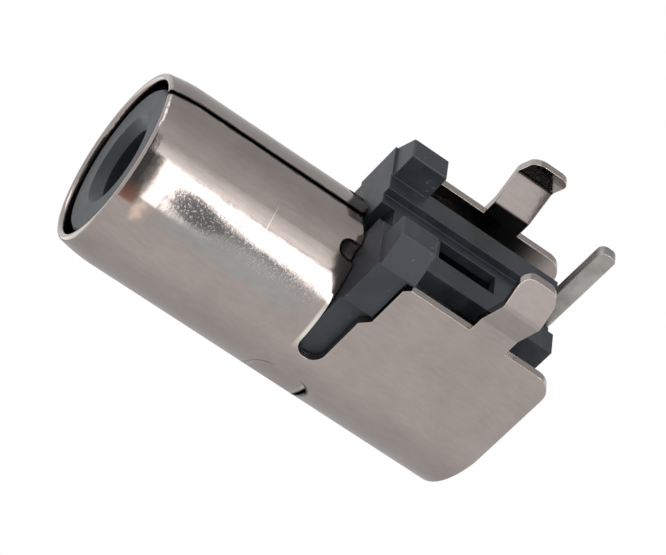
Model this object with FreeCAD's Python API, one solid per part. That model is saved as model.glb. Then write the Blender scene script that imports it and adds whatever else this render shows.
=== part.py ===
import FreeCAD, Part
import math
import os

# A right-angle coaxial audio socket for a circuit board: a rolled sheet-metal shell,
# a moulded insulator inside it and a spring contact for the plug's centre pin.
# X runs across the socket, Y from the mouth to the back, Z away from the board.
# Z = 0 is the board's face, where the insulator's two feet seat. Places along Y are measured
# from the mouth, and each finished piece is moved so that the origin lies where the signal
# tail's centre line crosses the board's face. Sizes are in millimetres.

# Shell, rolled from one sheet
SHEET = 0.4
BARREL_DIAMETER = 8.3
AXIS_HEIGHT = 6.7
TOTAL_LENGTH = 18.85
RIM_LENGTH = 1.0
LIP_THICKNESS = 0.34
LIP_DRAWN_IN = 0.16
SHOULDER_BLEND = 0.6
SEAM_GAP = 0.27
SEAM_SHIFT = 0.2
SEAM_CORNER_LENGTH = 0.34
SEAM_CORNER_WIDTH = 1.2

# Side outline of the shell
BARREL_LENGTH = 9.72
SLOT_WIDTH = 1.2
SLOT_DEPTH_PAST_AXIS = 0.25
PLATE_STEP = 0.38
PLATE_STEP_HEIGHT = 3.72
PLATE_STEP_RISE = 0.4
PLATE_EDGE_HEIGHT = 1.45
PLATE_REAR_DROP = 0.06
PLATE_CORNER_RADIUS = 0.85
PLATE_CORNER_CHAMFER = 0.25
TAIL_SET_BACK = 0.35

# Board legs of the shell
LEG_WIDTH = 1.8
LEG_PLACE_ON_PLATE = 0.42
LEG_TIP_DEPTH = 2.1
LEG_CORNER_RADIUS = 0.55
LEG_BEND_HEIGHT = 0.7
LEG_BEND_RADIUS = 0.3
LEG_KNEE_DEPTH = 0.78
LEG_KNEE_OUT = 0.65
LEG_TIP_IN = 0.42

# Round-cornered tabs lanced in the shell's back and bent in, which lock it on the insulator
TAB_ANGLE = 38.0
TAB_BEHIND_BARREL = 0.7
TAB_WIDTH = 2.66
TAB_REACH = 2.0
TAB_CORNER_RADIUS = 0.75
TAB_BEND = 10.0
TAB_CUT = 0.07

# Crimps that press the barrel's rear edge into the insulator, one on each side of the seam
CRIMP_ANGLE = 26.0
CRIMP_LENGTH = 0.85
CRIMP_PUNCH_RADIUS = 0.5
CRIMP_DEPTH = 0.4

# Insulator, moulded in one piece
FIT_GAP = 0.05
NOSE_RECESS = 0.25
NOSE_TIP_GAP = 0.275
NOSE_TIP_LENGTH = 1.3
NOSE_TIP_ROUND = 0.12
PIN_HOLE_DIAMETER = 3.3
PIN_HOLE_LAND = 2.6
PIN_HOLE_LEAD = 0.42
CHAMBER_DIAMETER = 4.5
COLLAR_LENGTH = 1.84
COLLAR_INSET = 0.2
COLLAR_TOP = 1.32
FOOT_ROUND = 0.12
FOOT_FLARE = 0.77
FOOT_WIDTH = 1.14
FOOT_SET_BACK = 0.1
RAIL_INNER = 1.15
RAIL_OUTER = 2.37
RAIL_TOP = 1.37
RAIL_SET_IN = 0.42
FLOOR_TOP = 1.75
WINDOW_WIDTH = 1.2
WINDOW_BEHIND_COLLAR = 1.15
WINDOW_SHARE = 0.416
NOTCH_LENGTH = 0.65
NOTCH_DEPTH = 1.7
FLANK_POCKET_FLOOR = 5.3
SIDE_WINDOW_BEHIND_COLLAR = 0.34
SIDE_WINDOW_SHARE = 0.587
SIDE_WINDOW_TOP = 2.2
SIDE_WINDOW_BOTTOM = 4.6
REAR_SET_IN = 0.4

# Centre contact, stamped and rolled from thin sheet, its tail folded double
CONTACT_SHEET = 0.26
SLEEVE_CLEARANCE = 0.06
SLEEVE_PLAY = 0.45
SLEEVE_LENGTH = 7.0
FINGER_LENGTH = 4.4
FINGER_GRIP_DIAMETER = 3.0
FINGER_SLIT = 0.45
FINGER_FLARE = 0.35
BLADE_HEIGHT = 1.3
TAIL_WIDTH = 0.9
TAIL_TIP_DEPTH = 2.65
TAIL_SLOT_GAP = 0.06
TAIL_END_ROUND = 0.36
TAIL_FOLD_ROUND = 0.2
TAIL_EDGE_ROUND = 0.07

BARREL_RADIUS = BARREL_DIAMETER / 2
BORE_RADIUS = BARREL_RADIUS - SHEET
PLATE_FRONT = BARREL_LENGTH + SLOT_WIDTH
LEG_FRONT = PLATE_FRONT + PLATE_STEP + LEG_PLACE_ON_PLATE * (TOTAL_LENGTH - PLATE_FRONT - PLATE_STEP)
LEG_REAR = LEG_FRONT + LEG_WIDTH
MOUTH_DIAMETER = BARREL_DIAMETER - 2 * (LIP_THICKNESS + LIP_DRAWN_IN)
TAB_PLACE = BARREL_LENGTH + TAB_BEHIND_BARREL
COLLAR_FRONT = BARREL_LENGTH + FIT_GAP
COLLAR_REAR = COLLAR_FRONT + COLLAR_LENGTH
COLLAR_HALF = BARREL_RADIUS - COLLAR_INSET
FOOT_OUTER = COLLAR_HALF - FOOT_FLARE
FOOT_INNER = FOOT_OUTER - FOOT_WIDTH
COLLAR_BOTTOM = PLATE_STEP_HEIGHT - FIT_GAP
RAIL_REAR = TOTAL_LENGTH - RAIL_SET_IN
WINDOW_FRONT = COLLAR_REAR + WINDOW_BEHIND_COLLAR
WINDOW_LENGTH = WINDOW_SHARE * (RAIL_REAR - COLLAR_REAR)
SIDE_WINDOW_FRONT = COLLAR_REAR + SIDE_WINDOW_BEHIND_COLLAR
SIDE_WINDOW_LENGTH = SIDE_WINDOW_SHARE * (RAIL_REAR - COLLAR_REAR)
SLEEVE_START = NOSE_RECESS + PIN_HOLE_LAND + SLEEVE_PLAY
TAIL_REAR = TOTAL_LENGTH - TAIL_SET_BACK
TAIL_CENTRE = TAIL_REAR - TAIL_WIDTH / 2
REACH = 3 * BARREL_DIAMETER

X_WAY = FreeCAD.Vector(1, 0, 0)
Y_WAY = FreeCAD.Vector(0, 1, 0)
Z_WAY = FreeCAD.Vector(0, 0, 1)


def point(x, y, z):
    return FreeCAD.Vector(x, y, z)


def box(x_low, x_high, y_low, y_high, z_low, z_high):
    corner = point(x_low, y_low, z_low)
    return Part.makeBox(x_high - x_low, y_high - y_low, z_high - z_low, corner)


def rod(radius, y_start, y_end):
    """A cylinder on the barrel's axis."""
    return Part.makeCylinder(radius, y_end - y_start, point(0, y_start, AXIS_HEIGHT), Y_WAY)


def turned(profile):
    """Turns a closed outline of (radius, y) points and arcs about the barrel's axis."""
    edges = []
    for piece in profile:
        places = [point(radius, y, AXIS_HEIGHT) for radius, y in piece]
        if len(places) == 2:
            edges.append(Part.LineSegment(places[0], places[1]).toShape())
        else:
            edges.append(Part.Arc(places[0], places[1], places[2]).toShape())
    face = Part.Face(Part.Wire(edges))
    return face.revolve(point(0, 0, AXIS_HEIGHT), Y_WAY, 360)


def mirrored(shape):
    return shape.mirror(point(0, 0, 0), X_WAY)


def edges_along(shape, way, test):
    """The straight edges that run along one direction and whose middle passes the test."""
    chosen = []
    for edge in shape.Edges:
        if edge.Curve.TypeId != "Part::GeomLine":
            continue
        if abs(abs(edge.Curve.Direction.dot(way)) - 1) < 1e-6 and test(edge.CenterOfMass):
            chosen.append(edge)
    return chosen


def side_prism(segments):
    """Extrudes a closed side outline of (y, z) lines and arcs across the whole width."""
    edges = []
    for piece in segments:
        places = [point(-REACH / 2, y, z) for y, z in piece]
        if len(places) == 2:
            edges.append(Part.LineSegment(places[0], places[1]).toShape())
        else:
            edges.append(Part.Arc(places[0], places[1], places[2]).toShape())
    return Part.Face(Part.Wire(edges)).extrude(X_WAY * REACH)


def rim_profile():
    """The barrel's wall in section: straight, then drawn in to a rounded lip at the mouth."""
    lip = LIP_THICKNESS / 2
    lip_radius = MOUTH_DIAMETER / 2 + lip
    slope = math.atan2(BARREL_RADIUS - lip_radius - lip, RIM_LENGTH - lip)
    across = point(math.cos(slope), -math.sin(slope), 0)
    outer = (lip_radius + lip * across.x, lip + lip * across.y)
    inner = (lip_radius - lip * across.x, lip - lip * across.y)
    wall_end = PLATE_FRONT - SLOT_WIDTH / 2
    blend = SHOULDER_BLEND
    blend_radius = blend / math.tan(slope / 2)
    shoulder_rear = (BARREL_RADIUS, RIM_LENGTH + blend)
    shoulder_middle = (BARREL_RADIUS - blend_radius * (1 - math.cos(slope / 2)),
                       RIM_LENGTH + blend - blend_radius * math.sin(slope / 2))
    shoulder_front = (BARREL_RADIUS - blend * math.sin(slope), RIM_LENGTH - blend * math.cos(slope))
    return [
        [(BARREL_RADIUS, wall_end), shoulder_rear],
        [shoulder_rear, shoulder_middle, shoulder_front],
        [shoulder_front, outer],
        [outer, (lip_radius - lip * math.sin(slope), lip - lip * math.cos(slope)), inner],
        [inner, (BORE_RADIUS, RIM_LENGTH + SHEET / 2)],
        [(BORE_RADIUS, RIM_LENGTH + SHEET / 2), (BORE_RADIUS, wall_end)],
        [(BORE_RADIUS, wall_end), (BARREL_RADIUS, wall_end)],
    ]


def shell_outline():
    """Side view of the folded sheet: barrel, slot, side plate and rear edge."""
    slot_radius = SLOT_WIDTH / 2
    slot_floor = AXIS_HEIGHT + SLOT_DEPTH_PAST_AXIS - slot_radius
    slot_middle = BARREL_LENGTH + slot_radius
    upper_front = PLATE_FRONT + PLATE_STEP
    step_low = PLATE_STEP_HEIGHT
    step_high = PLATE_STEP_HEIGHT + PLATE_STEP_RISE
    edge = PLATE_EDGE_HEIGHT
    rear_edge = PLATE_EDGE_HEIGHT + PLATE_REAR_DROP
    top = AXIS_HEIGHT + BARREL_DIAMETER
    bend = PLATE_CORNER_RADIUS * (1 - math.sqrt(0.5))
    seam_side = AXIS_HEIGHT - BARREL_DIAMETER
    return [
        [(-1, top), (-1, seam_side)],
        [(-1, seam_side), (BARREL_LENGTH, seam_side)],
        [(BARREL_LENGTH, seam_side), (BARREL_LENGTH, slot_floor)],
        [(BARREL_LENGTH, slot_floor), (slot_middle, slot_floor + slot_radius), (PLATE_FRONT, slot_floor)],
        [(PLATE_FRONT, slot_floor), (PLATE_FRONT, step_high)],
        [(PLATE_FRONT, step_high), (upper_front, step_low)],
        [(upper_front, step_low), (upper_front, edge + PLATE_CORNER_CHAMFER)],
        [(upper_front, edge + PLATE_CORNER_CHAMFER), (upper_front + PLATE_CORNER_CHAMFER, edge)],
        [(upper_front + PLATE_CORNER_CHAMFER, edge), (LEG_FRONT, edge)],
        [(LEG_FRONT, edge), (LEG_REAR, rear_edge)],
        [(LEG_REAR, rear_edge), (TOTAL_LENGTH - PLATE_CORNER_RADIUS, rear_edge)],
        [(TOTAL_LENGTH - PLATE_CORNER_RADIUS, rear_edge), (TOTAL_LENGTH - bend, rear_edge + bend),
         (TOTAL_LENGTH, rear_edge + PLATE_CORNER_RADIUS)],
        [(TOTAL_LENGTH, rear_edge + PLATE_CORNER_RADIUS), (TOTAL_LENGTH, AXIS_HEIGHT)],
        [(TOTAL_LENGTH, AXIS_HEIGHT), (TOTAL_LENGTH - TAIL_SET_BACK, AXIS_HEIGHT + BARREL_RADIUS)],
        [(TOTAL_LENGTH - TAIL_SET_BACK, AXIS_HEIGHT + BARREL_RADIUS), (TOTAL_LENGTH - TAIL_SET_BACK, top)],
        [(TOTAL_LENGTH - TAIL_SET_BACK, top), (-1, top)],
    ]


def channel():
    """The rear of the shell: half a tube, with a flat plate going down from each side."""
    start = PLATE_FRONT - SLOT_WIDTH / 2
    half = rod(BARREL_RADIUS, start, TOTAL_LENGTH).cut(rod(BORE_RADIUS, start, TOTAL_LENGTH))
    half = half.common(box(-REACH, REACH, start, TOTAL_LENGTH, AXIS_HEIGHT, REACH))
    plate = box(BORE_RADIUS, BARREL_RADIUS, start, TOTAL_LENGTH, PLATE_EDGE_HEIGHT, AXIS_HEIGHT)
    return half.fuse([plate, mirrored(plate)])


def leg():
    """One kinked board leg, as a bent strip trimmed to its rounded outline."""
    path = [
        (BORE_RADIUS, AXIS_HEIGHT / 2),
        (BORE_RADIUS, LEG_BEND_HEIGHT),
        (BORE_RADIUS + LEG_KNEE_OUT, -LEG_KNEE_DEPTH),
        (BORE_RADIUS - LEG_TIP_IN, -LEG_TIP_DEPTH - SHEET),
    ]
    outer = []
    for x, z in reversed(path):
        outer.append((x + SHEET, z))
    places = [point(x, LEG_FRONT, z) for x, z in path + outer]
    places.append(places[0])
    strip = Part.Face(Part.makePolygon(places)).extrude(Y_WAY * LEG_WIDTH)
    bends = edges_along(strip, Y_WAY, lambda middle: -LEG_TIP_DEPTH < middle.z < AXIS_HEIGHT / 2 - SHEET)
    strip = strip.makeFillet(LEG_BEND_RADIUS, bends)
    blank = box(0, REACH, LEG_FRONT, LEG_REAR, -LEG_TIP_DEPTH, AXIS_HEIGHT / 2)
    corners = edges_along(blank, X_WAY, lambda middle: middle.z < 0)
    blank = blank.makeFillet(LEG_CORNER_RADIUS, corners)
    return strip.common(blank)


def tongue(growth, root, low):
    """A round-cornered prism over the shell's back, from the tab's bend line outwards."""
    half = TAB_WIDTH / 2 + growth
    block = box(root, TAB_REACH + growth, TAB_PLACE - half, TAB_PLACE + half, AXIS_HEIGHT + low, REACH)
    corners = edges_along(block, Z_WAY, lambda middle: middle.x > TAB_REACH / 2)
    return block.makeFillet(TAB_CORNER_RADIUS + growth, corners)


def to_tab_place(shape):
    shape.rotate(point(0, 0, AXIS_HEIGHT), Y_WAY, TAB_ANGLE)
    return shape


def lock_tab():
    """The bit of sheet inside the lanced outline, turned in about its straight side."""
    ring = rod(BARREL_RADIUS, 0, TOTAL_LENGTH).cut(rod(BORE_RADIUS, 0, TOTAL_LENGTH))
    tab = ring.common(tongue(-TAB_CUT, 0, 0))
    tab.rotate(point(0, 0, AXIS_HEIGHT + BARREL_RADIUS), Y_WAY, TAB_BEND)
    return to_tab_place(tab)


def tab_seat():
    """The room that the insulator leaves for a bent tab."""
    drop = TAB_REACH * math.sin(math.radians(TAB_BEND))
    floor = math.sqrt(BORE_RADIUS ** 2 - TAB_REACH ** 2) - drop - FIT_GAP
    return to_tab_place(tongue(FIT_GAP, -SHEET / 2, floor))


def crimp(growth, overrun):
    """The ball-nosed punch of a crimp, larger by growth, cut off at overrun past the barrel's edge."""
    radius = CRIMP_PUNCH_RADIUS + growth
    start = BARREL_LENGTH - CRIMP_LENGTH + CRIMP_PUNCH_RADIUS
    centre = point(0, start, AXIS_HEIGHT - BARREL_RADIUS + CRIMP_DEPTH - CRIMP_PUNCH_RADIUS)
    length = BARREL_LENGTH + overrun - start
    punch = Part.makeSphere(radius, centre).fuse(Part.makeCylinder(radius, length, centre, Y_WAY))
    punch.rotate(point(0, 0, AXIS_HEIGHT), Y_WAY, CRIMP_ANGLE)
    return punch.common(rod(BARREL_DIAMETER, 0, BARREL_LENGTH + overrun))


def crimped(body):
    """Presses both crimps into the barrel's rear edge."""
    wall = crimp(SHEET, 0).common(rod(BORE_RADIUS + SHEET / 2, 0, BARREL_LENGTH))
    dent = crimp(0, FIT_GAP)
    return body.fuse([wall, mirrored(wall)]).cut([dent, mirrored(dent)])


def seam_corners():
    """The plan outline that trims the sheet's two corners where the seam meets the rear edge."""
    outline = [
        (SEAM_SHIFT, BARREL_LENGTH - SEAM_CORNER_LENGTH),
        (SEAM_SHIFT + SEAM_CORNER_WIDTH, BARREL_LENGTH),
        (SEAM_SHIFT + SEAM_CORNER_WIDTH, BARREL_LENGTH + 1),
        (SEAM_SHIFT - SEAM_CORNER_WIDTH, BARREL_LENGTH + 1),
        (SEAM_SHIFT - SEAM_CORNER_WIDTH, BARREL_LENGTH),
    ]
    places = [point(x, y, 0) for x, y in outline]
    places.append(places[0])
    return Part.Face(Part.makePolygon(places)).extrude(Z_WAY * AXIS_HEIGHT)


def make_shell():
    tube = turned(rim_profile())
    body = tube.fuse(channel()).common(side_prism(shell_outline()))
    body = body.fuse([leg(), mirrored(leg())])
    seam = box(SEAM_SHIFT - SEAM_GAP / 2, SEAM_SHIFT + SEAM_GAP / 2, -1, BARREL_LENGTH, 0, AXIS_HEIGHT)
    body = crimped(body.cut([seam, seam_corners()]))
    opening = to_tab_place(tongue(0, 0, 0))
    tab = lock_tab()
    body = body.cut([opening, mirrored(opening)]).fuse([tab, mirrored(tab)])
    return body.removeSplitter()


def make_housing():
    rear = RAIL_REAR
    core_radius = BORE_RADIUS - FIT_GAP
    tip_radius = MOUTH_DIAMETER / 2 - NOSE_TIP_GAP
    tip_end = NOSE_RECESS + NOSE_TIP_LENGTH
    nose = turned([
        [(0, NOSE_RECESS), (tip_radius - NOSE_TIP_ROUND, NOSE_RECESS)],
        [(tip_radius - NOSE_TIP_ROUND, NOSE_RECESS), (tip_radius, NOSE_RECESS + NOSE_TIP_ROUND)],
        [(tip_radius, NOSE_RECESS + NOSE_TIP_ROUND), (tip_radius, tip_end)],
        [(tip_radius, tip_end), (core_radius, tip_end + core_radius - tip_radius)],
        [(core_radius, tip_end + core_radius - tip_radius), (core_radius, rear - REAR_SET_IN)],
        [(core_radius, rear - REAR_SET_IN), (0, rear - REAR_SET_IN)],
        [(0, rear - REAR_SET_IN), (0, NOSE_RECESS)],
    ])
    lap = COLLAR_REAR - COLLAR_LENGTH / 4
    deck = box(-core_radius, core_radius, lap, rear - REAR_SET_IN, FLANK_POCKET_FLOOR, AXIS_HEIGHT)
    spine = box(-RAIL_OUTER, RAIL_OUTER, lap, rear, FLOOR_TOP, AXIS_HEIGHT)
    rail = box(RAIL_INNER, RAIL_OUTER, COLLAR_FRONT, rear, RAIL_TOP, FLOOR_TOP + FIT_GAP)
    body = nose.fuse([deck, spine, rail, mirrored(rail), collar()])
    return body.cut(housing_hollows()).removeSplitter()


def foot():
    """One foot: it stands on the board and widens to the collar's full width."""
    front = COLLAR_FRONT + FOOT_SET_BACK
    outline = [
        (FOOT_INNER, 0),
        (FOOT_OUTER, 0),
        (COLLAR_HALF, COLLAR_TOP),
        (COLLAR_HALF, COLLAR_TOP + SHEET),
        (FOOT_INNER, COLLAR_TOP + SHEET),
    ]
    places = [point(x, front, z) for x, z in outline]
    places.append(places[0])
    block = Part.Face(Part.makePolygon(places)).extrude(Y_WAY * (COLLAR_REAR - front))
    rim_edges = [edge for edge in block.Edges if edge.BoundBox.ZMax < FIT_GAP]
    return block.makeFillet(FOOT_ROUND, rim_edges)


def collar():
    """The block in the shell's slots, with the two feet that stand on the board."""
    plug_rear = PLATE_FRONT + PLATE_STEP - FIT_GAP
    inner = BORE_RADIUS - FIT_GAP
    block = box(-inner, inner, COLLAR_FRONT, COLLAR_REAR, COLLAR_TOP, AXIS_HEIGHT)
    cheek = box(inner - SHEET, COLLAR_HALF, COLLAR_FRONT, plug_rear, COLLAR_TOP, COLLAR_BOTTOM)
    behind_plug = box(inner, REACH, plug_rear, COLLAR_REAR + 1, PLATE_EDGE_HEIGHT - FIT_GAP, REACH)
    near_foot = foot().cut(behind_plug)
    trough = box(-FOOT_INNER, FOOT_INNER, COLLAR_FRONT - 1, COLLAR_REAR + 1, -1, FLOOR_TOP)
    shape = block.fuse([cheek, mirrored(cheek), near_foot, mirrored(near_foot)]).cut(trough)
    barrel = rod(BARREL_RADIUS + FIT_GAP, -1, BARREL_LENGTH + FIT_GAP / 2)
    return shape.cut(barrel)


def housing_hollows():
    """Pin hole, contact chamber, windows, tail slot, front notch and room for tabs and crimps."""
    hole = PIN_HOLE_DIAMETER / 2
    chamber = CHAMBER_DIAMETER / 2
    lead = PIN_HOLE_LEAD
    land_end = NOSE_RECESS + PIN_HOLE_LAND
    bore = turned([
        [(0, NOSE_RECESS - 1), (hole + lead + 1, NOSE_RECESS - 1)],
        [(hole + lead + 1, NOSE_RECESS - 1), (hole, NOSE_RECESS + lead)],
        [(hole, NOSE_RECESS + lead), (hole, land_end)],
        [(hole, land_end), (chamber, land_end)],
        [(chamber, land_end), (chamber, RAIL_REAR + 1)],
        [(chamber, RAIL_REAR + 1), (0, RAIL_REAR + 1)],
        [(0, RAIL_REAR + 1), (0, NOSE_RECESS - 1)],
    ])
    half_window = WINDOW_WIDTH / 2
    window = box(-half_window, half_window, WINDOW_FRONT, WINDOW_FRONT + WINDOW_LENGTH, -1, AXIS_HEIGHT)
    tail = CONTACT_SHEET + TAIL_SLOT_GAP
    slot_front = TAIL_REAR - TAIL_WIDTH - TAIL_SLOT_GAP
    tail_slot = box(-tail, tail, slot_front, REACH, -1, AXIS_HEIGHT)
    side = box(0, BARREL_RADIUS, SIDE_WINDOW_FRONT, SIDE_WINDOW_FRONT + SIDE_WINDOW_LENGTH,
               SIDE_WINDOW_TOP, SIDE_WINDOW_BOTTOM)
    notch = box(-half_window, half_window, COLLAR_FRONT - SHEET, COLLAR_FRONT + NOTCH_LENGTH,
                -1, FLOOR_TOP + NOTCH_DEPTH)
    hollows = [window, tail_slot, notch]
    for hollow in (side, tab_seat(), crimp(SHEET + FIT_GAP, FIT_GAP)):
        hollows += [hollow, mirrored(hollow)]
    return bore.fuse(hollows)


def make_contact():
    outer = CHAMBER_DIAMETER / 2 - SLEEVE_CLEARANCE
    inner = outer - CONTACT_SHEET
    grip = FINGER_GRIP_DIAMETER / 2
    start = SLEEVE_START
    neck = start + FINGER_LENGTH / 4
    root = start + FINGER_LENGTH
    end = start + SLEEVE_LENGTH
    sleeve = turned([
        [(grip + FINGER_FLARE, start), (grip, neck)],
        [(grip, neck), (inner, root)],
        [(inner, root), (inner, end)],
        [(inner, end), (outer, end)],
        [(outer, end), (outer, root)],
        [(outer, root), (grip + CONTACT_SHEET, neck)],
        [(grip + CONTACT_SHEET, neck), (grip + FINGER_FLARE + CONTACT_SHEET, start)],
        [(grip + FINGER_FLARE + CONTACT_SHEET, start), (grip + FINGER_FLARE, start)],
    ])
    slit = FINGER_SLIT / 2
    upright = box(-slit, slit, start - 1, root, AXIS_HEIGHT - outer - 1, AXIS_HEIGHT + outer + 1)
    level = box(-outer - 1, outer + 1, start - 1, root, AXIS_HEIGHT - slit, AXIS_HEIGHT + slit)
    sleeve = sleeve.cut(upright.fuse(level))
    sleeve = sleeve.cut(box(-slit / 2, slit / 2, start - 1, end + 1, AXIS_HEIGHT, AXIS_HEIGHT + outer + 1))
    fold = CONTACT_SHEET
    tail_front = TAIL_REAR - TAIL_WIDTH
    blade_low = AXIS_HEIGHT - outer
    blade_high = blade_low + BLADE_HEIGHT
    web = box(-fold, fold, end - 2 * CONTACT_SHEET, TAIL_REAR - TAIL_WIDTH / 2, blade_low, blade_high)
    tail = box(-fold, fold, tail_front, TAIL_REAR, -TAIL_TIP_DEPTH, blade_high)
    tip = edges_along(tail, X_WAY, lambda middle: middle.z < 0)
    tail = tail.makeFillet(TAIL_END_ROUND, tip).common(folded_strip(tail_front, blade_high))
    return sleeve.fuse([web, tail]).removeSplitter()


def folded_strip(front, top):
    """The strip folded double: two layers with rounded edges in front and the fold behind."""
    low = -TAIL_TIP_DEPTH
    layer = box(0, CONTACT_SHEET, front, TAIL_REAR - TAIL_FOLD_ROUND, low, top)
    front_edges = edges_along(layer, Z_WAY, lambda middle: middle.y < TAIL_REAR - TAIL_WIDTH / 2)
    layer = layer.makeFillet(TAIL_EDGE_ROUND, front_edges)
    bend = box(-CONTACT_SHEET, CONTACT_SHEET, front + TAIL_WIDTH / 2, TAIL_REAR, low, top)
    rear_edges = edges_along(bend, Z_WAY, lambda middle: middle.y > TAIL_REAR - FIT_GAP)
    bend = bend.makeFillet(TAIL_FOLD_ROUND, rear_edges)
    return bend.fuse([layer, mirrored(layer)])


PIECES = {
    "shell": make_shell,
    "insulator_housing": make_housing,
    "centre_contact": make_contact,
}


def main():
    os.makedirs("parts", exist_ok=True)
    for node, make in PIECES.items():
        [solid] = make().Solids
        solid.translate(point(0, -TAIL_CENTRE, 0))
        print(node, solid.isValid(), round(solid.Volume, 3))
        solid.exportStep("parts/" + node + ".step")


main()
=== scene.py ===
import math

import bpy
from mathutils import Matrix, Vector


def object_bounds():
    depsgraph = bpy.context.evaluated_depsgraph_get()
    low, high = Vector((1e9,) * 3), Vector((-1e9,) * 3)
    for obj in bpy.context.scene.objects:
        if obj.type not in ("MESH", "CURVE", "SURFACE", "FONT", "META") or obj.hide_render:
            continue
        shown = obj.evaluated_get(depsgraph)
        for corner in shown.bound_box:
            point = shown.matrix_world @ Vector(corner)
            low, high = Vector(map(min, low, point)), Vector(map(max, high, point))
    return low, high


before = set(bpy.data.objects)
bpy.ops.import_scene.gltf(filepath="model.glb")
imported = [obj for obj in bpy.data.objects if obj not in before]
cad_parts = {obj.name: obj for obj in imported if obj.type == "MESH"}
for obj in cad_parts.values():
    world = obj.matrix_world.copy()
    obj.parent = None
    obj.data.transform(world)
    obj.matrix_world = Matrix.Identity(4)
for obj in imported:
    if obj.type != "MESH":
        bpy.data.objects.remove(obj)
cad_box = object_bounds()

MM = 0.001

# Camera, fitted to the photograph: its place and its sideways and upward axes in the part's frame
CAMERA_PLACE = Vector((-118.07, -52.15, -73.87)) * MM
CAMERA_RIGHT = Vector((0.1028, 0.7958, -0.5967))
CAMERA_UP = Vector((0.6026, -0.5271, -0.5992))
CAMERA_LENS = 197.73
SENSOR_WIDTH = 36
CLIP_NEAR = 5 * MM
CLIP_FAR = 2000 * MM

# Lamps and cards are placed from the middle of the object, and all the lamps at one distance
MIDDLE = (cad_box[0] + cad_box[1]) / 2
LAMP_DISTANCE = 150 * MM

# Samples of the nodes that round edges and find crevices
BEVEL_SAMPLES = 6
CREVICE_SAMPLES = 8

# Openness of a crevice where its painted shade begins and where it is darkest, and how dark that is
CREVICE_OPENNESS = (0.35, 0.05)
CREVICE_SHADE = 0.85

# The range that most of a noise pattern lies in
NOISE_MIDDLE = (0.3, 0.7)


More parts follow.
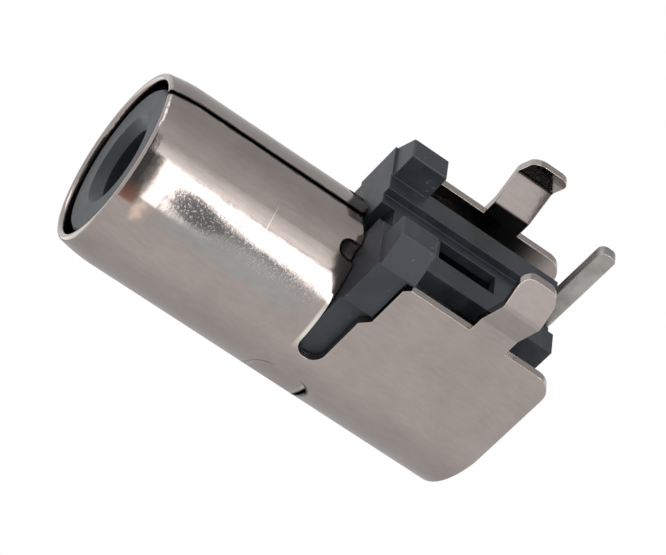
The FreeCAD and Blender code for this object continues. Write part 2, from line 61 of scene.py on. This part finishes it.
# Node helpers
class Nodes:
    """Adds nodes and links to one material or world."""

    def __init__(self, owner):
        owner.use_nodes = True
        self.owner = owner
        self.tree = owner.node_tree
        self.tree.nodes.clear()

    def add(self, kind, inputs=None, **settings):
        """A new node with its settings, and its inputs by name or number."""
        node = self.tree.nodes.new(kind)
        for name, value in settings.items():
            setattr(node, name, value)
        for name, value in (inputs or {}).items():
            if isinstance(value, bpy.types.NodeSocket):
                self.tree.links.new(value, node.inputs[name])
            else:
                node.inputs[name].default_value = value
        return node

    def math(self, operation, a, b=0.0, clamp=False):
        node = self.add("ShaderNodeMath", {0: a, 1: b}, operation=operation, use_clamp=clamp)
        return node.outputs["Value"]

    def chain(self, operation, values):
        """One operation over several values in turn."""
        total = values[0]
        for value in values[1:]:
            total = self.math(operation, total, value)
        return total

    def both(self, *masks):
        """The product of several masks or numbers."""
        return self.chain("MULTIPLY", masks)

    def most(self, *masks):
        """The largest of several masks or numbers."""
        return self.chain("MAXIMUM", masks)

    def off(self, value, centre):
        """How far a value lies from a centre, on either side of it."""
        return self.math("ABSOLUTE", self.math("SUBTRACT", value, centre))

    def past(self, value, limit):
        """How far a value lies beyond a limit, and 0 before it."""
        return self.math("MAXIMUM", self.math("SUBTRACT", value, limit), 0.0)

    def length(self, a, b):
        """The length of a flat vector."""
        pair = self.add("ShaderNodeCombineXYZ", {"X": a, "Y": b}).outputs["Vector"]
        return self.add("ShaderNodeVectorMath", {0: pair}, operation="LENGTH").outputs["Value"]

    def ramp(self, value, low, high, start=0.0, end=1.0):
        """The value between low and high, stretched to lie between start and end."""
        inputs = {"Value": value, "From Min": low, "From Max": high, "To Min": start, "To Max": end}
        return self.add("ShaderNodeMapRange", inputs, clamp=True).outputs["Result"]

    def between(self, value, low, high, soft):
        """Mask that is 1 where the value is between low and high, with soft edges outside them."""
        return self.both(self.ramp(value, low - soft, low), self.ramp(value, high + soft, high))

    def place(self, shares=(1, 1, 1)):
        """The place on the object in mm. A small share draws a pattern out along its axis."""
        where = self.add("ShaderNodeTexCoord").outputs["Object"]
        scale = [share / MM for share in shares]
        return self.add("ShaderNodeMapping", {"Vector": where, "Scale": scale}).outputs["Vector"]

    def coordinates(self):
        """The place on the object as three numbers in millimetres."""
        split = self.add("ShaderNodeSeparateXYZ", {"Vector": self.place()}).outputs
        return split["X"], split["Y"], split["Z"]

    def noise(self, size, detail=2.0, roughness=0.5, shares=(1, 1, 1)):
        """Noise from 0 to 1, whose lumps are about size millimetres across."""
        inputs = {
            "Vector": self.place(shares),
            "Scale": 1 / size,
            "Detail": detail,
            "Roughness": roughness,
        }
        return self.add("ShaderNodeTexNoise", inputs).outputs["Fac"]

    def mix(self, factor, first, second):
        """The first colour where the factor is 0 and the second where it is 1."""
        inputs = {"Factor": factor, "A": first, "B": second}
        return self.add("ShaderNodeMix", inputs, data_type="RGBA").outputs["Result"]

    def rounded(self, radius):
        """Normal of the surface with its edges rounded, radius in millimetres."""
        node = self.add("ShaderNodeBevel", {"Radius": radius * MM}, samples=BEVEL_SAMPLES)
        return node.outputs["Normal"]

    def bump(self, height, depth, normal):
        """Relief of the given depth in millimetres over a normal."""
        inputs = {"Height": height, "Distance": depth * MM, "Normal": normal}
        return self.add("ShaderNodeBump", inputs).outputs["Normal"]

    def edges(self, radius, strength):
        """Mask that is 1 on sharp edges and 0 on the flats."""
        plain = self.add("ShaderNodeNewGeometry").outputs["Normal"]
        inputs = {0: self.rounded(radius), 1: plain}
        alike = self.add("ShaderNodeVectorMath", inputs, operation="DOT_PRODUCT").outputs["Value"]
        return self.math("MULTIPLY", self.math("SUBTRACT", 1.0, alike), strength, clamp=True)

    def crevices(self, reach):
        """Mask of painted shade in gaps narrower than reach millimetres."""
        inputs = {"Distance": reach * MM}
        node = self.add("ShaderNodeAmbientOcclusion", inputs, samples=CREVICE_SAMPLES)
        return self.ramp(node.outputs["AO"], *CREVICE_OPENNESS, 0.0, CREVICE_SHADE)

    def surface(self, inputs):
        """Ends a material in the common shader, and gives the material back."""
        self.finish(self.add("ShaderNodeBsdfPrincipled", inputs).outputs["BSDF"])
        return self.owner

    def finish(self, shader, kind="ShaderNodeOutputMaterial"):
        self.add(kind, {"Surface": shader})


def colour(red, green, blue):
    return (red, green, blue, 1.0)


def grey(tone):
    return colour(tone, tone, tone)


# Nickel plate of the shell: rolled sheet, softly mottled, brighter where the edges are rubbed and with
# a painted highlight on them, with painted highlights by the slots and tabs and painted shade in its
# gaps
NICKEL = colour(0.360, 0.314, 0.295)
NICKEL_DULL = colour(0.312, 0.271, 0.254)
# Edge colour: worn plating with a painted highlight on the sheet edges
NICKEL_WORN_HIGHLIT = colour(0.600, 0.545, 0.475)
# Colour of a real scratch, and of painted highlights beside the slots and on the tabs' rims
NICKEL_SCRATCH_AND_HIGHLIGHT = colour(0.700, 0.665, 0.600)
# Painted shade in the seam, along the tabs' cuts and in narrow gaps
NICKEL_PAINTED_SHADE = colour(0.035, 0.032, 0.030)

# Its patterns, and how they make its mottle, its gloss and its relief, with sizes and depths in mm
NICKEL_CLOUD = {"size": 1.6, "detail": 3}
NICKEL_GRAIN = {"size": 0.16, "shares": (1, 0.25, 1)}
NICKEL_PEEL = {"size": 0.55}
GRAIN_SHARE = 0.6
MOTTLE_RANGE = (0.55, 1.05)
NICKEL_ROUGHNESS = (0.145, 0.10)
NICKEL_ROUNDING = 0.05
PEEL_DEPTH = 0.0045
GRAIN_DEPTH = 0.0018

# Wear with a painted highlight on its sharp edges, and painted shade in its gaps: the radius in mm and
# the strength of the one, and the reach of the other in mm
NICKEL_EDGE_RADIUS = 0.09
NICKEL_EDGE_WEAR_AND_HIGHLIGHT = 2.0
NICKEL_CREVICE = 0.16

# The barrel's seam, in mm: its place across, the half width and the soft border of its painted shade,
# how that wanders, the heights between which it fades in, and how far off the seam the edges begin to
# be worn and highlit
SEAM_PLACE = 0.20
SEAM_SHADE = 0.16
SEAM_SOFT = 0.05
SEAM_WANDER = (0.03, -0.05)
SEAM_HEIGHTS = (4.0, 3.5)
SEAM_WORN_HIGHLIT = (0.3, 0.5)

# The barrel's rear edge beside the slots, with a painted highlight in patches where it catches light:
# its place and width in mm, where it fades in outwards and downwards, and the range of the noise that
# makes the patches
BARREL_REAR = -8.33
SLOT_HIGHLIGHT_WIDTH = 0.12
SLOT_HIGHLIGHT_SOFT = 0.10
SLOT_HIGHLIGHT_SIDE = (3.3, 3.9)
SLOT_HIGHLIGHT_HEIGHTS = (6.9, 6.1)
SLOT_HIGHLIGHT_PATCHES = (0.30, 0.50)

# One short, slightly wavy scratch across the barrel's board side, in mm, and its strength
SCRATCH_PLACE = -12.12
SCRATCH_WAVE = 0.15
SCRATCH_HALF = 0.03
SCRATCH_ENDS = (-2.80, -2.10)
SCRATCH_FADE = 0.25
SCRATCH_HEIGHTS = (6.0, 5.5)
SCRATCH_STRENGTH = 0.6

# A patch of fine pits in the plate on the near side of the barrel: its ends, its heights and where it
# fades in outwards, in mm, and then the pits in it
PITTED_ENDS = (-16.0, -8.9)
PITTED_HEIGHTS = (3.95, 4.95)
PITTED_SOFT = 0.3
PITTED_SIDE = (-2.2, -2.6)
NICKEL_PITS = {"size": 0.09, "roughness": 0.6}
PIT_DEPTH = 0.0016
PIT_RANGE = (0.50, 0.62)
PIT_ROUGHNESS = 0.31

# Inner faces of the side plates, duller than the burnished outside towards their rear corners: their
# places in mm, and their roughness
INNER_FACE = 3.75
INNER_HALF = 0.05
INNER_SOFT = 0.03
INNER_DULL_ENDS = (-2.4, -0.6)
INNER_HEIGHTS = (0.9, 6.6)
INNER_HEIGHT_SOFT = 0.1
INNER_ROUGHNESS = 0.45

# The cut round each lanced tab, in mm: its turn about the barrel's axis, its outline, and how far off
# the tab's middle its painted shade and the painted highlight on its rim fade in
AXIS_HEIGHT = 6.7
CUT_TURN = math.radians(38)
CUT_PLACE = -7.63
CUT_HALF = 1.33
CUT_REACH = 2.0
CUT_CORNER = 0.75
CUT_SIDES = (0.55, 1.0)

# Painted shade in that cut and a painted highlight on the rim inside it: their places off the outline
# in mm, the strength of the shade from the cut's front to its middle, and the strength of the rim's
# highlight towards the tab's end
CUT_SOFT = 0.06
CUT_SHADE = (-0.09, 0.05)
CUT_SHADE_FRONT = 1.4
CUT_SHADE_STRENGTH = (0.5, 0.95)
CUT_RIM = (-0.24, -0.18)
CUT_RIM_ENDS = (0.9, 1.7)
CUT_RIM_STRENGTH = (0.2, 0.6)


def cut_masks(n, x, y, z):
    """Masks of the painted shade along a lanced tab's cut and of the painted highlight on the rim
    inside it.
    """
    outwards = n.math("MULTIPLY", n.math("ABSOLUTE", x), math.cos(CUT_TURN))
    height = n.math("SUBTRACT", z, AXIS_HEIGHT)
    outwards = n.math("SUBTRACT", outwards, n.math("MULTIPLY", height, math.sin(CUT_TURN)))
    aside = n.off(y, CUT_PLACE)
    past_side = n.past(aside, CUT_HALF - CUT_CORNER)
    past_reach = n.past(outwards, CUT_REACH - CUT_CORNER)
    off_cut = n.math("SUBTRACT", n.length(past_side, past_reach), CUT_CORNER)
    at_side = n.ramp(aside, *CUT_SIDES)
    painted_shade = n.both(
        n.between(off_cut, *CUT_SHADE, CUT_SOFT),
        at_side,
        n.ramp(y, CUT_PLACE - CUT_SHADE_FRONT, CUT_PLACE, *CUT_SHADE_STRENGTH),
    )
    rim = n.both(
        n.between(off_cut, *CUT_RIM, CUT_SOFT),
        at_side,
        n.ramp(outwards, *CUT_RIM_ENDS, *CUT_RIM_STRENGTH),
    )
    return painted_shade, rim


def slot_highlight(n, x, y, z, peel):
    """Mask of the painted highlight on the barrel's rear edge beside the slots."""
    return n.both(
        n.between(y, BARREL_REAR - SLOT_HIGHLIGHT_WIDTH, BARREL_REAR, SLOT_HIGHLIGHT_SOFT),
        n.ramp(n.math("ABSOLUTE", x), *SLOT_HIGHLIGHT_SIDE),
        n.ramp(z, *SLOT_HIGHLIGHT_HEIGHTS),
        n.ramp(peel, *SLOT_HIGHLIGHT_PATCHES),
    )


def scratch_mask(n, x, y, z, cloud):
    wavy = n.math("ADD", y, n.math("MULTIPLY", cloud, SCRATCH_WAVE))
    return n.both(
        n.between(wavy, SCRATCH_PLACE, SCRATCH_PLACE, SCRATCH_HALF),
        n.between(x, *SCRATCH_ENDS, SCRATCH_FADE),
        n.ramp(z, *SCRATCH_HEIGHTS, 0.0, SCRATCH_STRENGTH),
    )


def pitted_mask(n, x, y, z):
    return n.both(
        n.between(y, *PITTED_ENDS, PITTED_SOFT),
        n.between(z, *PITTED_HEIGHTS, PITTED_SOFT),
        n.ramp(x, *PITTED_SIDE),
    )


def inner_mask(n, x, y, z):
    """Mask of the side plates' inner faces towards their rear corners."""
    return n.both(
        n.between(n.math("ABSOLUTE", x), INNER_FACE - INNER_HALF, INNER_FACE + INNER_HALF, INNER_SOFT),
        n.ramp(y, *INNER_DULL_ENDS),
        n.between(z, *INNER_HEIGHTS, INNER_HEIGHT_SOFT),
    )


def nickel_material():
    n = Nodes(bpy.data.materials.new("nickel_plate"))
    x, y, z = n.coordinates()
    cloud = n.noise(**NICKEL_CLOUD)
    grain = n.noise(**NICKEL_GRAIN)
    peel = n.noise(**NICKEL_PEEL)
    pits = n.noise(**NICKEL_PITS)
    mottle = n.ramp(n.math("ADD", cloud, n.math("MULTIPLY", grain, GRAIN_SHARE)), *MOTTLE_RANGE)

    off_seam = n.math("ADD", n.off(x, SEAM_PLACE), n.ramp(peel, *NOISE_MIDDLE, *SEAM_WANDER))
    in_seam = n.both(n.ramp(off_seam, SEAM_SHADE + SEAM_SOFT, SEAM_SHADE), n.ramp(z, *SEAM_HEIGHTS))
    in_cut, cut_rim = cut_masks(n, x, y, z)
    # Painted shade in the seam, along the tabs' cuts and in narrow gaps
    painted_shade = n.most(in_seam, in_cut, n.crevices(NICKEL_CREVICE))
    # Edges brighter from wear, with a painted highlight on them
    worn_and_highlit = n.both(n.edges(NICKEL_EDGE_RADIUS, NICKEL_EDGE_WEAR_AND_HIGHLIGHT), n.ramp(off_seam, *SEAM_WORN_HIGHLIT))
    # A real scratch, and painted highlights beside the slots and on the tabs' rims
    rubbed = n.most(slot_highlight(n, x, y, z, peel), scratch_mask(n, x, y, z, cloud), cut_rim)
    plate = n.mix(mottle, NICKEL_DULL, NICKEL)
    plate = n.mix(worn_and_highlit, plate, NICKEL_WORN_HIGHLIT)
    plate = n.mix(rubbed, plate, NICKEL_SCRATCH_AND_HIGHLIGHT)

    pitted = pitted_mask(n, x, y, z)
    relief = n.bump(peel, PEEL_DEPTH, n.rounded(NICKEL_ROUNDING))
    relief = n.bump(grain, GRAIN_DEPTH, relief)
    relief = n.bump(n.both(pits, pitted), PIT_DEPTH, relief)

    burnished = n.ramp(mottle, 0.0, 1.0, *NICKEL_ROUGHNESS)
    frosted = n.both(n.ramp(pits, *PIT_RANGE, 0.0, PIT_ROUGHNESS), pitted)
    dull = n.both(inner_mask(n, x, y, z), INNER_ROUGHNESS)
    inputs = {
        "Base Color": n.mix(painted_shade, plate, NICKEL_PAINTED_SHADE),
        "Metallic": 1.0,
        "Roughness": n.most(burnished, frosted, dull),
        "Normal": relief,
    }
    return n.surface(inputs)


# Moulded housing: charcoal plastic, paler in clouds, in specks and on rubbed edges, and a little bluish
# in its gloss
PLASTIC = colour(0.013, 0.0155, 0.019)
PLASTIC_PALE = colour(0.025, 0.029, 0.035)
PLASTIC_EDGE = colour(0.072, 0.079, 0.088)
PLASTIC_GLOSS = colour(0.88, 0.93, 1.00)

# Its patterns, edges and relief, with sizes, radii and depths in mm
PLASTIC_CLOUD = {"size": 1.2, "detail": 3}
PLASTIC_GRAIN = {"size": 0.09}
PLASTIC_SPECKS = {"size": 0.22, "detail": 1}
SPECK_RANGE = (0.72, 0.78)
PALE_RANGE = (0.35, 0.7)
PLASTIC_ROUGHNESS = (0.44, 0.56)
PLASTIC_EDGE_RADIUS = 0.09
PLASTIC_EDGE_WEAR = 1.6
PLASTIC_ROUNDING = 0.06
PLASTIC_GRAIN_DEPTH = 0.004


def plastic_material():
    n = Nodes(bpy.data.materials.new("charcoal_plastic"))
    cloud = n.noise(**PLASTIC_CLOUD)
    specks = n.ramp(n.noise(**PLASTIC_SPECKS), *SPECK_RANGE)
    rubbed = n.both(n.edges(PLASTIC_EDGE_RADIUS, PLASTIC_EDGE_WEAR), cloud)
    body = n.mix(n.ramp(cloud, *PALE_RANGE), PLASTIC, PLASTIC_PALE)
    inputs = {
        "Base Color": n.mix(n.most(rubbed, specks), body, PLASTIC_EDGE),
        "Specular Tint": PLASTIC_GLOSS,
        "Roughness": n.ramp(cloud, *NOISE_MIDDLE, *PLASTIC_ROUGHNESS),
        "Normal": n.bump(n.noise(**PLASTIC_GRAIN), PLASTIC_GRAIN_DEPTH, n.rounded(PLASTIC_ROUNDING)),
    }
    return n.surface(inputs)


# Tinned strip of the contact: dull, drawn along its length, with brighter sheared edges
TIN = colour(0.365, 0.352, 0.335)
TIN_DULL = colour(0.260, 0.249, 0.236)
TIN_EDGE = colour(0.600, 0.585, 0.560)

# Its patterns, edges and relief, with sizes, radii and depths in mm
TIN_CLOUD = {"size": 0.7, "detail": 3}
TIN_DRAWN = {"size": 0.14, "detail": 3, "shares": (1, 1, 0.2)}
TIN_ROUGHNESS = (0.48, 0.36)
TIN_EDGE_RADIUS = 0.06
TIN_EDGE_WEAR = 2.0
TIN_ROUNDING = 0.05
DRAWN_DEPTH = 0.010


def tin_material():
    n = Nodes(bpy.data.materials.new("tinned_strip"))
    cloud = n.noise(**TIN_CLOUD)
    body = n.mix(n.ramp(cloud, *NOISE_MIDDLE), TIN_DULL, TIN)
    inputs = {
        "Base Color": n.mix(n.edges(TIN_EDGE_RADIUS, TIN_EDGE_WEAR), body, TIN_EDGE),
        "Metallic": 1.0,
        "Roughness": n.ramp(cloud, *NOISE_MIDDLE, *TIN_ROUGHNESS),
        "Normal": n.bump(n.noise(**TIN_DRAWN), DRAWN_DEPTH, n.rounded(TIN_ROUNDING)),
    }
    return n.surface(inputs)


FINISHES = {
    "shell": nickel_material,
    "insulator_housing": plastic_material,
    "centre_contact": tin_material,
}

# Faces that meet at less than this angle are shaded as one round surface
SMOOTH_ANGLE = math.radians(24)


def dress_pieces():
    for name, make_material in FINISHES.items():
        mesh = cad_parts[name].data
        mesh.materials.clear()
        mesh.materials.append(make_material())
        mesh.shade_smooth()
        mesh.set_sharp_from_angle(angle=SMOOTH_ANGLE)


# Object helpers
def rectangle(across, along):
    """The corners of a rectangle about its middle."""
    x = across / 2
    y = along / 2
    return [(-x, -y), (x, -y), (x, y), (-x, y)]


def new_object(name, data):
    obj = bpy.data.objects.new(name, data)
    bpy.context.scene.collection.objects.link(obj)
    return obj


def new_sheet(name, points, material):
    """A flat object with the given corners."""
    mesh = bpy.data.meshes.new(name)
    mesh.from_pydata(points, [], [range(len(points))])
    mesh.materials.append(material)
    return new_object(name, mesh)


def standing(place, across, along, away):
    """The matrix that puts an object at a place, with its own axes along the three given ones."""
    return Matrix.Translation(place) @ Matrix((across, along, away)).transposed().to_4x4()


def facing_middle(direction, distance):
    """The matrix of a lamp or card that faces the object, with its length along the barrel."""
    away = Vector(direction).normalized()
    across = Vector((0, 1, 0)).cross(away).normalized()
    return standing(MIDDLE + away * distance, across, away.cross(across), away)


# Studio floor: just under the tail's tip, and seen only by the camera and only from above
FLOOR_SIZE = 900 * MM
FLOOR_GAP = 0.01 * MM
FLOOR_COLOUR = grey(0.80)


def floor_material():
    n = Nodes(bpy.data.materials.new("studio_floor"))
    from_above = n.math("SUBTRACT", 1.0, n.add("ShaderNodeNewGeometry").outputs["Backfacing"])
    seen = n.both(from_above, n.add("ShaderNodeLightPath").outputs["Is Camera Ray"])
    clear = n.add("ShaderNodeBsdfTransparent").outputs["BSDF"]
    pale = n.add("ShaderNodeBsdfDiffuse", {"Color": FLOOR_COLOUR}).outputs["BSDF"]
    n.finish(n.add("ShaderNodeMixShader", {"Fac": seen, 1: clear, 2: pale}).outputs["Shader"])
    return n.owner


def make_floor():
    level = cad_box[0].z - FLOOR_GAP
    corners = rectangle(FLOOR_SIZE, FLOOR_SIZE)
    points = [(MIDDLE.x + x, MIDDLE.y + y, level) for x, y in corners]
    new_sheet("studio_floor", points, floor_material())


# World: white behind the object and in its reflections, softer as a light
WORLD_LIGHT = 0.65
WORLD_WHITE = grey(1)


def make_world():
    n = Nodes(bpy.data.worlds.new("studio"))
    path = n.add("ShaderNodeLightPath").outputs
    shown = n.most(path["Is Camera Ray"], path["Is Glossy Ray"], path["Is Transmission Ray"])
    inputs = {"Color": WORLD_WHITE, "Strength": n.ramp(shown, 0.0, 1.0, WORLD_LIGHT, 1.0)}
    n.finish(n.add("ShaderNodeBackground", inputs).outputs["Background"], "ShaderNodeOutputWorld")
    bpy.context.scene.world = n.owner


# Lamps: direction from the object, size across and along the barrel in mm, and power in watts
LAMPS = {
    "softbox": ((-0.6765, 0.355, -0.649), (76, 90), 0.068),
    "shoulder_strip": ((-0.7265, 0.1035, -0.677), (184, 38), 0.066),
    "upper_lamp": ((0.52, -0.62, -0.58), (70, 70), 0.030),
    "top_lamp": ((0.30, -0.50, 0.80), (120, 120), 0.035),
}


def make_lamps():
    for name, (direction, (across, along), power) in LAMPS.items():
        data = bpy.data.lights.new(name, "AREA")
        data.shape = "RECTANGLE"
        data.size = across * MM
        data.size_y = along * MM
        data.energy = power
        lamp = new_object(name, data)
        lamp.matrix_world = facing_middle(direction, LAMP_DISTANCE)
        lamp.visible_camera = False


# Colours that the cards glow in
SHADE = colour(0.085, 0.100, 0.098)
COPPER = colour(0.62, 0.30, 0.22)
PEACH = colour(1.95, 1.70, 1.50)
SLATE = colour(0.26, 0.31, 0.34)
MIST = colour(0.90, 1.02, 1.06)

# The dark cards close to the barrel, in mm across and along it: a broad band that narrows to a point
# at one end, and a small card that hangs nearer and darkens the tip of the band's reflection
CLOSE_DIRECTION = (-0.80, 0.42, -0.43)
CLOSE_OUTLINE = [
    (-4.9, -12.4), (2.9, -12.5), (8.4, -12.3), (14.0, -11.9), (20.0, -11.2),
    (17.8, -3.8), (12.4, -4.5), (7.7, -4.9), (0.5, -5.0), (-1.6, -6.0),
    (-1.6, -7.4), (-2.4, -9.1), (-5.5, -10.5), (-9.7, -11.1), (-8.5, -11.7),
]
CLOSE_TIP_OUTLINE = [
    (-0.2, -10.1), (2.4, -10.1), (4.2, -9.5), (4.8, -8.5), (3.0, -7.6), (1.6, -7.0),
    (0.6, -7.0), (-0.9, -7.6), (-1.9, -8.3), (-2.4, -9.1), (-1.6, -9.8),
]

# The warm card, a ragged patch, in mm across and along the barrel
WARM_OUTLINE = [
    (-38, 1), (-24, -7), (-6, -9), (14, -5), (34, -3), (24, 4), (6, 9), (-10, 5), (-26, 7),
]

# Cards that only reflections show, as a studio has: direction and distance from the object in mm,
# outline, and one colour, or two and the places across the card, in mm, between which they blend
CARDS = {
    "camera_shade": ((-0.7035, -0.327, -0.634), 140, rectangle(252, 76), {40.32: SHADE, 126: COPPER}),
    "close_card": (CLOSE_DIRECTION, 26, CLOSE_OUTLINE, {-3.861: SLATE, 4.752: MIST}),
    "close_tip": (CLOSE_DIRECTION, 10, CLOSE_TIP_OUTLINE, {0: SLATE}),
    "leg_card": ((-0.66, 0.50, -0.56), 21, rectangle(7, 7), {0: grey(1.15)}),
    "seam_card": ((0.78, 0.28, -0.545), 110, rectangle(310, 120), {37.2: grey(0.60), 155: grey(0.92)}),
    "spill_card": ((-0.215, 0.30, -0.93), 120, rectangle(66, 120), {-6.6: grey(0.88), 33: grey(2.20)}),
    "warm_card": ((-0.995, 0.03, 0.086), 140, WARM_OUTLINE, {0: PEACH}),
    "back_card": ((0.05, 0.30, 0.93), 120, rectangle(260, 130), {-130: grey(1.00), 130: grey(0.42)}),
}


def card_material(name, colours):
    """Glows in one colour, or in two that blend between their places across the card."""
    n = Nodes(bpy.data.materials.new(name))
    shown = list(colours.values())[0]
    if len(colours) > 1:
        across = n.coordinates()[0]
        shown = n.mix(n.ramp(across, *colours.keys()), *colours.values())
    n.finish(n.add("ShaderNodeEmission", {"Color": shown}).outputs["Emission"])
    return n.owner


def make_cards():
    for name, (direction, distance, outline, colours) in CARDS.items():
        points = [(x * MM, y * MM, 0) for x, y in outline]
        card = new_sheet(name, points, card_material(name, colours))
        card.matrix_world = facing_middle(direction, distance * MM)
        card.visible_camera = False
        card.visible_diffuse = False
        card.visible_shadow = False


def make_camera():
    data = bpy.data.cameras.new("camera")
    data.sensor_fit = "HORIZONTAL"
    data.sensor_width = SENSOR_WIDTH
    data.lens = CAMERA_LENS
    data.clip_start = CLIP_NEAR
    data.clip_end = CLIP_FAR
    right = CAMERA_RIGHT.normalized()
    back = right.cross(CAMERA_UP).normalized()
    camera = new_object("camera", data)
    camera.matrix_world = standing(CAMERA_PLACE, right, back.cross(right), back)
    bpy.context.scene.camera = camera


dress_pieces()
make_floor()
make_world()
make_lamps()
make_cards()
make_camera()
bpy.context.scene.view_settings.view_transform = "Standard"
